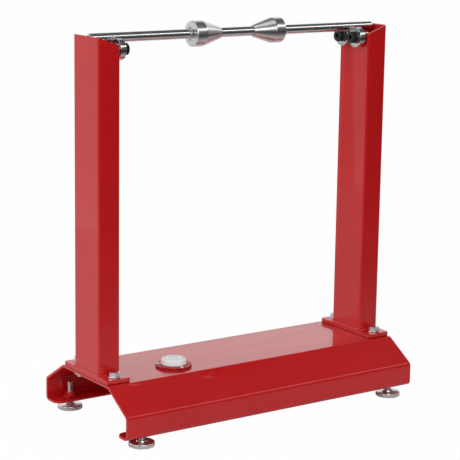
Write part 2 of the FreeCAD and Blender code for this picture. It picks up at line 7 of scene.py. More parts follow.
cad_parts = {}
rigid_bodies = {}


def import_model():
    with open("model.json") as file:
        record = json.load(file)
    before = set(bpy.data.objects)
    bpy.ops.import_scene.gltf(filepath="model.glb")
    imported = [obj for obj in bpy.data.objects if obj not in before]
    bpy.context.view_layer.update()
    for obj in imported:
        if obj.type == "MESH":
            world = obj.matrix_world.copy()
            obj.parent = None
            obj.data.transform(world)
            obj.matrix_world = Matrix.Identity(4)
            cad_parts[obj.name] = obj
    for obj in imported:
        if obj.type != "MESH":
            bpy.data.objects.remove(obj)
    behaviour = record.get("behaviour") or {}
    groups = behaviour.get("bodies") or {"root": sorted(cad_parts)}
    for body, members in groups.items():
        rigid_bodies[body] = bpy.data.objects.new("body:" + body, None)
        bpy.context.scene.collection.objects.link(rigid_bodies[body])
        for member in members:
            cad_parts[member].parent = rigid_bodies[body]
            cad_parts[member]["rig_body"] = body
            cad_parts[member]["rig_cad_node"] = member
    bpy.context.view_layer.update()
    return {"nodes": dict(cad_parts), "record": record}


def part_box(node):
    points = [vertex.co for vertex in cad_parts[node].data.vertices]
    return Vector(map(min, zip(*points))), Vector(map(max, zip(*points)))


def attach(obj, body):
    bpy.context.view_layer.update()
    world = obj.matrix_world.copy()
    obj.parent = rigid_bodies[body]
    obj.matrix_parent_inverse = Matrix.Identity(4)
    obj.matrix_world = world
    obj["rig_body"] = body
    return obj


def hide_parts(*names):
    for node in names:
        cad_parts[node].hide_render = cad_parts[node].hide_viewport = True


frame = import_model()
record = frame["record"]
mm = 0.001
sideSign = {"left": -1, "right": 1}
spotNames = ("front", "rear")
print("frame loaded:", len(frame["nodes"]), "nodes")

# The camera stands at the front left, a little above the shaft.
cameraView = {"place": (-1.21044, -1.73032, 0.66886), "yaw": 34.83, "pitch": 11.77,
              "roll": 0.887, "lens": 131.62, "sensor": 36}


def addCamera():
    data = bpy.data.cameras.new("view")
    data.lens = cameraView["lens"]
    data.sensor_width = cameraView["sensor"]
    camera = bpy.data.objects.new("view", data)
    bpy.context.scene.collection.objects.link(camera)
    turn = Matrix.Rotation(math.radians(-cameraView["yaw"]), 4, "Z")
    tilt = Matrix.Rotation(math.radians(90 - cameraView["pitch"]), 4, "X")
    roll = Matrix.Rotation(math.radians(cameraView["roll"]), 4, "Z")
    camera.matrix_world = Matrix.Translation(cameraView["place"]) @ turn @ tilt @ roll
    bpy.context.scene.camera = camera


# Steps shared by floor, world and finishes: an item is a socket, a number or a colour.
def feed(tree, item, socket):
    if hasattr(item, "links"):
        tree.links.new(item, socket)
    elif socket.type == "RGBA":
        socket.default_value = (*item, 1)
    else:
        socket.default_value = item


def axes(tree, kind="Object"):
    place = tree.nodes.new("ShaderNodeTexCoord")
    split = tree.nodes.new("ShaderNodeSeparateXYZ")
    tree.links.new(place.outputs[kind], split.inputs[0])
    return split.outputs


def mathNode(tree, operation, first, second):
    node = tree.nodes.new("ShaderNodeMath")
    node.operation = operation
    feed(tree, first, node.inputs[0])
    feed(tree, second, node.inputs[1])
    return node.outputs[0]


def ranged(tree, value, low, high, fromLow=0.3, fromHigh=0.7, curve="LINEAR"):
    node = tree.nodes.new("ShaderNodeMapRange")
    node.interpolation_type = curve
    for label, item in (("Value", value), ("From Min", fromLow), ("From Max", fromHigh),
                        ("To Min", low), ("To Max", high)):
        feed(tree, item, node.inputs[label])
    return node.outputs["Result"]


def mixed(tree, factor, first, second, kind="VALUE"):
    node = tree.nodes.new("ShaderNodeMix")
    node.data_type = "FLOAT" if kind == "VALUE" else kind
    tree.links.new(factor, node.inputs["Factor"])
    ends = [socket for socket in node.inputs if socket.name in ("A", "B") and socket.type == kind]
    feed(tree, first, ends[0])
    feed(tree, second, ends[1])
    return next(socket for socket in node.outputs if socket.type == kind)


def newFinish(name):
    material = bpy.data.materials.new(name)
    material.use_nodes = True
    tree = material.node_tree
    return material, tree, tree.nodes["Principled BSDF"]


# White paper below, darker towards the front, that looks evenly white to the camera.
floorPaper = {"size": 14, "rough": 0.9, "shine": 0.1, "from": -1.1, "to": 0.2, "glow": 0.985,
              "shades": ((0, 0.06), (0.42, 0.25), (0.75, 0.85), (1, 1))}


def addFloor():
    bpy.ops.object.select_all(action="DESELECT")
    bpy.ops.mesh.primitive_plane_add(size=floorPaper["size"], location=(0, 0, 0))
    floor = bpy.context.object
    floor.name = "floor"
    paper, tree, shader = newFinish("paper")
    shader.inputs["Roughness"].default_value = floorPaper["rough"]
    shader.inputs["Specular IOR Level"].default_value = floorPaper["shine"]
    fade = tree.nodes.new("ShaderNodeValToRGB")
    stops = fade.color_ramp.elements
    for position, shade in floorPaper["shades"][1:-1]:
        stops.new(position)
    for stop, (position, shade) in zip(stops, floorPaper["shades"]):
        stop.color = (shade, shade, shade, 1)
    along = ranged(tree, axes(tree)["Y"], 0, 1, floorPaper["from"], floorPaper["to"])
    tree.links.new(along, fade.inputs["Fac"])
    tree.links.new(fade.outputs["Color"], shader.inputs["Base Color"])
    path = tree.nodes.new("ShaderNodeLightPath")
    glow = tree.nodes.new("ShaderNodeEmission")
    mix = tree.nodes.new("ShaderNodeMixShader")
    seen = mathNode(tree, "MULTIPLY", path.outputs["Is Camera Ray"], floorPaper["glow"])
    tree.links.new(seen, mix.inputs["Fac"])
    tree.links.new(shader.outputs["BSDF"], mix.inputs[1])
    tree.links.new(glow.outputs["Emission"], mix.inputs[2])
    tree.links.new(mix.outputs[0], tree.nodes["Material Output"].inputs["Surface"])
    floor.data.materials.append(paper)


# A room that is dim in front and above and bright at the back; the camera sees it white.
room = {"front": 0.10, "back": 0.95, "frontEnds": -0.5, "backStarts": 0.35, "ceiling": 0.09,
        "wallEnds": 0.5, "ceilingStarts": 0.72, "backdrop": 1}


def addWorld():
    world = bpy.data.worlds.new("studioWorld")
    bpy.context.scene.world = world
    world.use_nodes = True
    tree = world.node_tree
    background = tree.nodes["Background"]
    background.inputs["Color"].default_value = (1, 1, 1, 1)
    way = axes(tree, "Generated")
    across = ranged(tree, way["Y"], room["front"], room["back"],
                    room["frontEnds"], room["backStarts"])
    upward = ranged(tree, way["Z"], 0, 1, room["wallEnds"], room["ceilingStarts"], "SMOOTHSTEP")
    shade = mixed(tree, upward, across, room["ceiling"])
    path = tree.nodes.new("ShaderNodeLightPath")
    seen = mixed(tree, path.outputs["Is Camera Ray"], shade, room["backdrop"])
    tree.links.new(seen, background.inputs["Strength"])


# Five softboxes: place, size and aim in metres, power in watts.
softboxes = {
    "leftBox": {"place": (-1.01, 0.683, 0.4), "size": (1.05, 0.9), "power": 0.9,
                "aim": (-0.1, 0, 0.2)},
    "sideBox": {"place": (-1.7, -0.5, 0.9), "size": (0.9, 0.9), "power": 6.6,
                "aim": (0, 0, 0.25)},
    "topBox": {"place": (-0.2, -0.05, 1.7), "size": (1.5, 1.1), "power": 3.9,
               "aim": (0, 0, 0.1)},
    "frontBox": {"place": (-0.6, -2.1, 1.3), "size": (1.3, 0.9), "power": 17,
                 "aim": (0, 0, 0.2)},
    "stripBox": {"place": (0.95, -0.85, 1.25), "size": (1.7, 0.28), "power": 3.2,
                 "aim": (0.25, 0, 0.48)},
}


def addSoftboxes():
    for name, box in softboxes.items():
        data = bpy.data.lights.new(name, "AREA")
        data.shape = "RECTANGLE"
        data.size, data.size_y = box["size"]
        data.energy = box["power"]
        lamp = bpy.data.objects.new(name, data)
        bpy.context.scene.collection.objects.link(lamp)
        lamp.location = box["place"]
        sight = Vector(box["aim"]) - lamp.location
        lamp.rotation_euler = sight.to_track_quat("-Z", "Y").to_euler()
        lamp.visible_camera = False


bpy.context.scene.view_settings.view_transform = "Standard"
addCamera()
addFloor()
addWorld()
addSoftboxes()
print("camera, floor and lights are set")


# Shader groups hold the effects that several finishes share.
def newGroup(name, inputs, output):
    group = bpy.data.node_groups.new(name, "ShaderNodeTree")
    for label, start in inputs.items():
        socket = group.interface.new_socket(label, in_out="INPUT", socket_type="NodeSocketFloat")
        socket.default_value = start
    group.interface.new_socket(output, in_out="OUTPUT", socket_type="NodeSocketFloat")
    entry = group.nodes.new("NodeGroupInput")
    leave = group.nodes.new("NodeGroupOutput")
    place = group.nodes.new("ShaderNodeTexCoord")
    return group, entry.outputs, leave.inputs[output], place.outputs["Object"]


def noiseNode(tree, vector, scale, detail):
    node = tree.nodes.new("ShaderNodeTexNoise")
    tree.links.new(vector, node.inputs["Vector"])
    node.inputs["Detail"].default_value = detail
    feed(tree, scale, node.inputs["Scale"])
    return node.outputs["Fac"]


# Long soft ripples of sprayed paint, with finer ones on top.
def orangePeelGroup():
    tree, given, result, place = newGroup("orangePeel", {"Size": 260, "Fine": 900,
                                                         "FineShare": 0.25}, "Height")
    broad = noiseNode(tree, place, given["Size"], 1)
    fine = noiseNode(tree, place, given["Fine"], 2)
    ripples = mathNode(tree, "MULTIPLY", fine, given["FineShare"])
    tree.links.new(mathNode(tree, "ADD", broad, ripples), result)
    return tree


# Patchy value between 0 and 1 at two sizes: handling marks, plating clouds, dust.
def cloudGroup():
    tree, given, result, place = newGroup("cloud", {"Size": 60, "Grain": 900, "Mixed": 0.3},
                                          "Value")
    broad = noiseNode(tree, place, given["Size"], 4)
    grain = noiseNode(tree, place, given["Grain"], 2)
    tree.links.new(mixed(tree, given["Mixed"], broad, grain), result)
    return tree


# Worn or thin places along outer edges.
def edgeGroup():
    tree, given, result, place = newGroup("edgeWear", {"Start": 0.52, "End": 0.58, "Break": 400},
                                          "Mask")
    shape = tree.nodes.new("ShaderNodeNewGeometry")
    edges = ranged(tree, shape.outputs["Pointiness"], 0, 1, given["Start"], given["End"])
    broken = noiseNode(tree, place, given["Break"], 3)
    tree.links.new(mathNode(tree, "MULTIPLY", edges, broken), result)
    return tree


# Fine rings left by a lathe or a grinding wheel, across the X axis.
def toolLinesGroup():
    tree, given, result, place = newGroup("toolLines", {"Pitch": 3000, "Drift": 4}, "Height")
    squeeze = tree.nodes.new("ShaderNodeVectorMath")
    squeeze.operation = "MULTIPLY"
    scales = tree.nodes.new("ShaderNodeCombineXYZ")
    for axis, label in (("X", "Pitch"), ("Y", "Drift"), ("Z", "Drift")):
        tree.links.new(given[label], scales.inputs[axis])
    tree.links.new(place, squeeze.inputs[0])
    tree.links.new(scales.outputs[0], squeeze.inputs[1])
    tree.links.new(noiseNode(tree, squeeze.outputs[0], 1, 3), result)
    return tree


effects = {"orangePeel": orangePeelGroup(), "cloud": cloudGroup(), "edgeWear": edgeGroup(),
           "toolLines": toolLinesGroup()}


def effect(tree, name, values=None):
    node = tree.nodes.new("ShaderNodeGroup")
    node.node_tree = effects[name]
    for label, number in (values or {}).items():
        node.inputs[label].default_value = number
    return node.outputs[0]


def bumped(tree, shader, height, strength, distance=0.0002):
    node = tree.nodes.new("ShaderNodeBump")
    node.inputs["Strength"].default_value = strength
    node.inputs["Distance"].default_value = distance
    tree.links.new(height, node.inputs["Height"])
    tree.links.new(node.outputs["Normal"], shader.inputs["Normal"])


# Red powder coat: colours, wear along edges, painted shade in corners and the clear top layer.
redCoat = {"deep": (0.58, 0.0055, 0.008), "body": (0.68, 0.0075, 0.011),
           "patches": {"Size": 9, "Grain": 700, "Mixed": 0.25}, "rough": (0.32, 0.45),
           "edge": (0.85, 0.04, 0.035), "wear": {"Start": 0.515, "End": 0.56},
           "cornerShadeColour": (0.10, 0.001, 0.0015), "cornerShadeReach": 0.0035, "cornerShadeSamples": 8,
           "cornerShadeFrom": 0.15, "cornerShadeTo": 0.75, "shine": 0.06, "coatRough": 0.025,
           "coatIor": 1.5, "ripple": 0.02, "rippleDepth": 0.0004}


def redPaint():
    material, tree, shader = newFinish("redPaint")
    cloud = effect(tree, "cloud", redCoat["patches"])
    base = mixed(tree, ranged(tree, cloud, 0, 1), redCoat["deep"], redCoat["body"], "RGBA")
    worn = mixed(tree, effect(tree, "edgeWear", redCoat["wear"]), base, redCoat["edge"], "RGBA")
    # Painted shade: where the AO node finds surfaces close by, in corners and in the gap under the
    # plates, the colour turns to a near-black red.
    shade = tree.nodes.new("ShaderNodeAmbientOcclusion")
    shade.inputs["Distance"].default_value = redCoat["cornerShadeReach"]
    shade.samples = redCoat["cornerShadeSamples"]
    clear = ranged(tree, shade.outputs["AO"], 0, 1, redCoat["cornerShadeFrom"], redCoat["cornerShadeTo"])
    colour = mixed(tree, clear, redCoat["cornerShadeColour"], worn, "RGBA")
    tree.links.new(colour, shader.inputs["Base Color"])
    tree.links.new(ranged(tree, cloud, *redCoat["rough"]), shader.inputs["Roughness"])
    shader.inputs["Specular IOR Level"].default_value = redCoat["shine"]
    shader.inputs["Coat Weight"].default_value = 1
    shader.inputs["Coat Roughness"].default_value = redCoat["coatRough"]
    shader.inputs["Coat IOR"].default_value = redCoat["coatIor"]
    bumped(tree, shader, effect(tree, "orangePeel"), redCoat["ripple"], redCoat["rippleDepth"])
    return material


# Bare and plated steels: colour of the low and high places, roughness range, tool lines.
steels = {
    "polishedSteel": {"low": (0.70, 0.70, 0.71), "high": (0.84, 0.84, 0.85),
                      "rough": (0.13, 0.20), "pitch": 900, "depth": 0.004},
    "turnedSteel": {"low": (0.68, 0.67, 0.66), "high": (0.86, 0.85, 0.84),
                    "rough": (0.20, 0.32), "pitch": 1500, "depth": 0.008},
    "bearingSteel": {"low": (0.66, 0.66, 0.67), "high": (0.80, 0.80, 0.81),
                     "rough": (0.10, 0.2), "pitch": 1800, "depth": 0.008},
    "shieldSteel": {"low": (0.42, 0.42, 0.43), "high": (0.60, 0.59, 0.58),
                    "rough": (0.22, 0.4), "pitch": 900, "depth": 0.008},
    "zincPlate": {"low": (0.66, 0.67, 0.70), "high": (0.86, 0.86, 0.85),
                  "rough": (0.18, 0.34), "pitch": 700, "depth": 0.008},
}
steelPatches = {"Size": 90, "Grain": 1600, "Mixed": 0.4}


def steelFinish(name):
    look = steels[name]
    material, tree, shader = newFinish(name)
    cloud = effect(tree, "cloud", steelPatches)
    lines = effect(tree, "toolLines", {"Pitch": look["pitch"]})
    colour = mixed(tree, ranged(tree, cloud, 0, 1), look["low"], look["high"], "RGBA")
    tree.links.new(colour, shader.inputs["Base Color"])
    both = mathNode(tree, "ADD", mathNode(tree, "MULTIPLY", cloud, 0.5),
                    mathNode(tree, "MULTIPLY", lines, 0.5))
    tree.links.new(ranged(tree, both, *look["rough"]), shader.inputs["Roughness"])
    shader.inputs["Metallic"].default_value = 1
    bumped(tree, shader, lines, look["depth"])
    return material


blackened = {"skin": (0.012, 0.012, 0.013), "worn": (0.16, 0.155, 0.15), "rough": (0.22, 0.42),
             "wear": {"Start": 0.53, "End": 0.62, "Break": 900}, "metallic": 0.35,
             "patches": {"Size": 140, "Grain": 1500, "Mixed": 0.4}, "bump": 0.06}


def blackOxide():
    material, tree, shader = newFinish("blackOxide")
    edges = effect(tree, "edgeWear", blackened["wear"])
    colour = mixed(tree, edges, blackened["skin"], blackened["worn"], "RGBA")
    tree.links.new(colour, shader.inputs["Base Color"])
    cloud = effect(tree, "cloud", blackened["patches"])
    tree.links.new(ranged(tree, cloud, *blackened["rough"]), shader.inputs["Roughness"])
    shader.inputs["Metallic"].default_value = blackened["metallic"]
    bumped(tree, shader, cloud, blackened["bump"])
    return material


# Moulded plastics: two shades, roughness range and how solid they look. The clear one
# is painted nearly solid red up to rimTop, a painted view of the paint behind its flange, clouds
# over from there on, and glows white above rimTop as painted light.
plastics = {
    "cagePlastic": {"low": (0.52, 0.42, 0.25), "high": (0.66, 0.56, 0.36),
                    "rough": (0.4, 0.6), "alpha": 1, "bump": 0.02},
    "whitePlastic": {"low": (0.80, 0.80, 0.79), "high": (0.90, 0.90, 0.89),
                     "rough": (0.25, 0.4), "alpha": 1, "bump": 0.01},
    "clearPlastic": {"low": (0.92, 0.93, 0.93), "high": (0.98, 0.99, 0.99),
                     "rough": (0.02, 0.05), "alpha": (0.12, 0.8), "glow": 0.15, "gloss": 0.1,
                     "from": 0.0730, "to": 0.0741, "rim": (0.62, 0.012, 0.016),
                     "rimTop": 0.0728, "rimAlpha": 0.75},
    "levelLiquid": {"low": (0.90, 0.92, 0.91), "high": (0.96, 0.97, 0.96),
                    "rough": (0.02, 0.04), "alpha": 0.85},
    "levelAir": {"low": (0.93, 0.94, 0.94), "high": (1, 1, 1),
                 "rough": (0.02, 0.04), "alpha": 0.3},
}
plasticPatches = {"Size": 70, "Grain": 1300, "Mixed": 0.5}


def plasticFinish(name):
    look = plastics[name]
    material, tree, shader = newFinish(name)
    cloud = effect(tree, "cloud", plasticPatches)
    colour = mixed(tree, ranged(tree, cloud, 0, 1), look["low"], look["high"], "RGBA")
    tree.links.new(ranged(tree, cloud, *look["rough"]), shader.inputs["Roughness"])
    if "rim" in look:
        height = axes(tree)["Z"]
        cloudy = ranged(tree, height, *look["alpha"], look["from"], look["to"])
        low = mathNode(tree, "LESS_THAN", height, look["rimTop"])
        solid = mathNode(tree, "MULTIPLY", low, look["rimAlpha"])
        tree.links.new(mathNode(tree, "MAXIMUM", cloudy, solid), shader.inputs["Alpha"])
        # Painted see-through and glow: below rimTop the flange takes the paint's red to show the
        # paint under it, and above rimTop the cap has a white emission glow that stands in for
        # light passing through it.
        colour = mixed(tree, low, colour, look["rim"], "RGBA")
        tree.links.new(ranged(tree, low, 1, 0), shader.inputs["Emission Color"])
        shader.inputs["Emission Strength"].default_value = look["glow"]
        shader.inputs["Specular IOR Level"].default_value = look["gloss"]
    else:
        shader.inputs["Alpha"].default_value = look["alpha"]
    tree.links.new(colour, shader.inputs["Base Color"])
    if "bump" in look:
        bumped(tree, shader, cloud, look["bump"])
    return material


finishes = {
    "red_paint": redPaint(), "black_oxide": blackOxide(),
    "polished_steel": steelFinish("polishedSteel"), "turned_steel": steelFinish("turnedSteel"),
    "bearing_steel": steelFinish("bearingSteel"), "shield_steel": steelFinish("shieldSteel"),
    "zinc": steelFinish("zincPlate"), "cage_plastic": plasticFinish("cagePlastic"),
    "clear_plastic": plasticFinish("clearPlastic"), "white_plastic": plasticFinish("whitePlastic"),
    "level_liquid": plasticFinish("levelLiquid"), "level_air": plasticFinish("levelAir"),
}
for part in record["subparts"]:
    nodeMesh = frame["nodes"][part["node"]].data
    nodeMesh.materials.clear()
    nodeMesh.materials.append(finishes[part["material_slot"]])
print("finishes are on the frame")


# Small steps that every piece uses.
def clearSelection():
    if bpy.context.mode != "OBJECT":
        bpy.ops.object.mode_set(mode="OBJECT")
    bpy.ops.object.select_all(action="DESELECT")


def pick(*pieces):
    clearSelection()
    for piece in pieces:
        piece.select_set(True)
    bpy.context.view_layer.objects.active = pieces[0]


def editAll(piece):
    pick(piece)
    bpy.ops.object.mode_set(mode="EDIT")
    bpy.ops.mesh.select_all(action="SELECT")


def applyModifier(piece, kind, **settings):
    pick(piece)
    modifier = piece.modifiers.new(kind.lower(), kind)
    for label, setting in settings.items():
        setattr(modifier, label, setting)
    bpy.ops.object.modifier_apply(modifier=modifier.name)


def roundEdges(piece, width, segments=2, angle=35):
    applyModifier(piece, "BEVEL", width=width * mm, segments=segments, limit_method="ANGLE",
                  angle_limit=math.radians(angle), harden_normals=False)


def smoothBy(piece, angle=38):
    pick(piece)
    bpy.ops.object.shade_smooth_by_angle(angle=math.radians(angle))
    applyModifier(piece, "WEIGHTED_NORMAL", keep_sharp=True, weight=100)


def joined(name, pieces):
    pick(*pieces)
    bpy.ops.object.join()
    piece = bpy.context.object
    piece.name = name
    return piece


# Puts the place and turn into the mesh, so that the object itself stays at the origin.
def moved(piece, place, turn=(0, 0, 0)):
    pick(piece)
    piece.location = place
    piece.rotation_mode = "ZYX"
    piece.rotation_euler = turn
    bpy.ops.object.transform_apply(location=True, rotation=True, scale=True)
    return piece


def placed(source, name, place, turn=(0, 0, 0)):
    pick(source)
    bpy.ops.object.duplicate(linked=False)
    piece = bpy.context.object
    piece.name = name
    return moved(piece, place, turn)


def discard(*pieces):
    for piece in pieces:
        bpy.data.objects.remove(piece)


def cutBy(piece, tool, operation="DIFFERENCE"):
    applyModifier(piece, "BOOLEAN", object=tool, operation=operation, solver="EXACT")
    discard(tool)


def finishPiece(piece, body, slot, *nodes):
    piece.data.name = piece.name
    piece.data.materials.clear()
    piece.data.materials.append(finishes[slot])
    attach(piece, body)
    if nodes:
        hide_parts(*nodes)


# A lathe: one point is drawn out along a profile of (radius, height) in mm, then spun.
def turned(name, profile, steps=64):
    clearSelection()
    bpy.ops.mesh.primitive_plane_add(size=mm, location=(0, 0, 0))
    piece = bpy.context.object
    piece.name = name
    editAll(piece)
    bpy.ops.mesh.merge(type="CENTER")
    radius, height = profile[0]
    bpy.ops.transform.translate(value=(radius * mm, 0, height * mm))
    for (fromRadius, fromHeight), (radius, height) in zip(profile, profile[1:]):
        step = ((radius - fromRadius) * mm, 0, (height - fromHeight) * mm)
        bpy.ops.mesh.extrude_region_move(TRANSFORM_OT_translate={"value": step})
    bpy.ops.mesh.select_all(action="SELECT")
    bpy.ops.mesh.spin(steps=steps, angle=math.tau, center=(0, 0, 0), axis=(0, 0, 1))
    bpy.ops.mesh.select_all(action="SELECT")
    bpy.ops.mesh.remove_doubles(threshold=0.002 * mm)
    bpy.ops.mesh.normals_make_consistent(inside=False)
    clearSelection()
    return piece


def arc(centre, radius, start, end, count):
    angles = [math.radians(start + (end - start) * index / count) for index in range(count + 1)]
    return [(centre[0] + radius * math.cos(angle), centre[1] + radius * math.sin(angle))
            for angle in angles]


def closed(profile):
    return profile + profile[:1]


# Hexagon heads and nuts: corners cut back by a crowned barrel, a countersunk bore.
hexForm = {"spare": 0.2, "crown": 0.96, "slope": 30, "countersink": 1.4, "start": 0.4,
           "soft": 0.12}


def hexBlock(name, across, height, bothEnds=False, bore=0, turn=0):
    corner = across / math.sqrt(3)
    clearSelection()
    bpy.ops.mesh.primitive_cylinder_add(vertices=6, radius=corner * mm, depth=height * mm,
                                        location=(0, 0, height / 2 * mm),
                                        rotation=(0, 0, math.radians(90 + turn)))
    piece = bpy.context.object
    piece.name = name
    bpy.ops.object.transform_apply(location=True, rotation=True, scale=True)
    wide = corner + hexForm["spare"]
    crown = across / 2 * hexForm["crown"]
    drop = (wide - crown) * math.tan(math.radians(hexForm["slope"]))
    bottom = [(0, 0), (crown, 0), (wide, drop)] if bothEnds else [(0, 0), (wide, 0)]
    barrel = turned("barrel", bottom + [(wide, height - drop), (crown, height), (0, height)], 48)
    cutBy(piece, barrel, "INTERSECT")
    if bore:
        lead = bore / 2 + hexForm["countersink"]
        start = hexForm["start"]
        hole = turned("hole", [(0, -1), (lead, -1), (bore / 2, start), (bore / 2, height - start),
                               (lead, height + 1), (0, height + 1)], 40)
        cutBy(piece, hole)
    roundEdges(piece, hexForm["soft"], 2, 25)
    smoothBy(piece)
    return piece


# A hexagon key's pit, sunk from the height of a screw's top.
def cutSocket(piece, across, depth, height):
    clearSelection()
    bpy.ops.mesh.primitive_cylinder_add(vertices=6, radius=across / math.sqrt(3) * mm,
                                        depth=2 * depth * mm, location=(0, 0, height * mm))
    cutBy(piece, bpy.context.object)


# A rod from low to high with a right-hand thread between threadLow and its chamfered top.
def threadedRod(name, size, low, high, threadLow, pitch=1.25, depth=0.6, steps=36, rows=7):
    radius = size / 2
    profile = [(0, low), (radius, low)]
    if threadLow > low:
        profile.append((radius, threadLow - 0.2))
    count = int((high - depth - threadLow) / pitch * rows)
    profile += [(radius, threadLow + index * pitch / rows) for index in range(count + 1)]
    profile += [(radius - depth * part, high - depth * (1 - part)) for part in (0.33, 0.66, 1)]
    profile.append((0, high))
    piece = turned(name, profile, steps)
    for vertex in piece.data.vertices:
        x, y, z = vertex.co
        reach = math.hypot(x, y) / mm
        height = z / mm
        if reach < radius - depth - 0.01 or height < threadLow - 0.01:
            continue
        phase = (height / pitch - math.atan2(y, x) / math.tau) % 1
        fade = min(1, (height - threadLow) / pitch)
        narrowed = min(reach, radius - depth * fade * abs(2 * phase - 1))
        vertex.co.x *= narrowed / reach
        vertex.co.y *= narrowed / reach
    smoothBy(piece, 50)
    return piece


# Painted sheet and tube: clean copies of the frame's shapes with softly rounded edges.
paintedShapes = {
    "base_channel": {"piece": "foldedBase", "round": 0.45},
    "post_left": {"piece": "postTube_left", "round": 0.4},
    "post_right": {"piece": "postTube_right", "round": 0.4},
    "post_plate_left": {"piece": "footPlate_left", "round": 0.35, "groove": 0.9},
    "post_plate_right": {"piece": "footPlate_right", "round": 0.35, "groove": 0.9},
}


# A plate's lower outer edge, which leaves a dark line on the sheet below it.
def bevelUnderside(piece, width):
    pick(piece)
    bpy.ops.object.mode_set(mode="EDIT")
    bpy.ops.mesh.select_mode(type="EDGE")
    bpy.ops.mesh.select_all(action="DESELECT")
    bpy.ops.object.mode_set(mode="OBJECT")
    points = [vertex.co for vertex in piece.data.vertices]
    rimWidth = 2 * mm
    flatness = 0.01 * mm
    low = min(point.z for point in points)
    middle = sum(point.x for point in points) / len(points)
    rimX = max(abs(point.x - middle) for point in points) - rimWidth
    rimY = max(abs(point.y) for point in points) - rimWidth
    for edge in piece.data.edges:
        ends = [points[index] for index in edge.vertices]
        flat = all(abs(end.z - low) < flatness for end in ends)
        outside = all(abs(end.y) > rimY or abs(end.x - middle) > rimX for end in ends)
        edge.select = flat and outside
    bpy.ops.object.mode_set(mode="EDIT")
    bpy.ops.mesh.bevel(offset=width * mm, segments=2, affect="EDGES")
    bpy.ops.mesh.select_mode(type="VERT")
    clearSelection()


def softCopy(node, name, width, groove=0):
    pick(frame["nodes"][node])
    bpy.ops.object.duplicate(linked=False)
    piece = bpy.context.object
    piece.name = name
    # The copy is a new piece, no longer marked as a frame node.
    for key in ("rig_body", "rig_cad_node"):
        if key in piece:
            del piece[key]
    piece.parent = None
    editAll(piece)
    bpy.ops.mesh.remove_doubles(threshold=0.005 * mm)
    bpy.ops.mesh.dissolve_limited(angle_limit=math.radians(0.5))
    bpy.ops.mesh.normals_make_consistent(inside=False)
    clearSelection()
    if groove:
        bevelUnderside(piece, groove)
    roundEdges(piece, width, 3, 40)
    smoothBy(piece, 35)
    return piece


for nodeName, shape in paintedShapes.items():
    painted = softCopy(nodeName, shape["piece"], shape["round"], shape.get("groove", 0))
    finishPiece(painted, "stand", "red_paint", nodeName)
print("painted sheet and tube")

# Weld beads round the foot of each post: overlapping drops melted into one skin.
bead = {"step": 2.3, "width": 2.3, "height": 2.1, "skin": 0.42, "jitter": 0.14,
        "endWidth": 1.35, "corner": 3.5, "seed": 11}


def weldPath(half, corner, step):
    spots = []
    straightX = 2 * (half[0] - corner)
    straightY = 2 * (half[1] - corner)
    turnLength = corner * math.pi / 2
    for quarter in range(4):
        run = straightY if quarter % 2 == 0 else straightX
        count = int(run / step)
        sideways = half[0] if quarter % 2 == 0 else half[1]
        for index in range(count + 1):
            spots.append((quarter, sideways, (index / count - 0.5) * run))
        for index in range(1, int(turnLength / step) + 1):
            share = index / (int(turnLength / step) + 1)
            spots.append((quarter, sideways - corner + corner * math.cos(share * math.pi / 2),
                          run / 2 + corner * math.sin(share * math.pi / 2)))
    return [Matrix.Rotation(quarter * math.pi / 2, 3, "Z") @ Vector((out, along, 0))
            for quarter, out, along in spots]


def weldBead(name, tubeHalf, place):
    draw = random.Random(bead["seed"])
    clearSelection()
    bpy.ops.mesh.primitive_uv_sphere_add(segments=12, ring_count=8, radius=mm, location=(0, 0, 0))
    drop = bpy.context.object
    drops = []
    for spot in weldPath(tubeHalf, bead["corner"], bead["step"]):
        size = 1 + draw.uniform(-1, 1) * bead["jitter"]
        across = bead["endWidth"] if abs(spot.x) > tubeHalf[0] - 1 else bead["width"]
        copy = placed(drop, "drop", spot * mm)
        editAll(copy)
        scale = (across * size, bead["width"] * size, bead["height"] * size)
        bpy.ops.transform.resize(value=scale, center_override=spot * mm)
        clearSelection()
        drops.append(copy)
    discard(drop)
    piece = moved(joined(name, drops), place)
    applyModifier(piece, "REMESH", mode="VOXEL", voxel_size=bead["skin"] * mm)
    bpy.ops.object.shade_smooth()
    return piece


for side in sideSign:
    postLow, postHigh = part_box("post_" + side)
    postMiddle = (postLow + postHigh) / 2
    tubeHalf = ((postHigh.x - postLow.x) / 2 / mm, (postHigh.y - postLow.y) / 2 / mm)
    weld = weldBead("weldBead_" + side, tubeHalf, (postMiddle.x, postMiddle.y, postLow.z))
    finishPiece(weld, "stand", "red_paint", "post_weld_" + side)
print("weld beads")

# Hexagon bolts that hold each post's plate: head, washers above and below, nut, thread end.
plateBolt = {"across": 13, "head": 5.3, "size": 8, "nut": 6.5, "washer": 16, "washerThick": 1.6,
             "inset": 10.5, "thread": 14, "sheet": 3, "core": 7.1, "play": 0.4,
             "leans": {-1: 8, 1: -23}}


def washerRing(name, size, bore, thick, soft=0.25, sharp=0.1):
    outer = size / 2
    inner = bore / 2
    profile = closed([(inner, sharp), (inner + sharp, 0), (outer - soft, 0), (outer, soft),
                      (outer, thick - soft), (outer - soft, thick), (inner + sharp, thick),
                      (inner, thick - sharp)])
    piece = turned(name, profile, 56)
    smoothBy(piece, 50)
    return piece


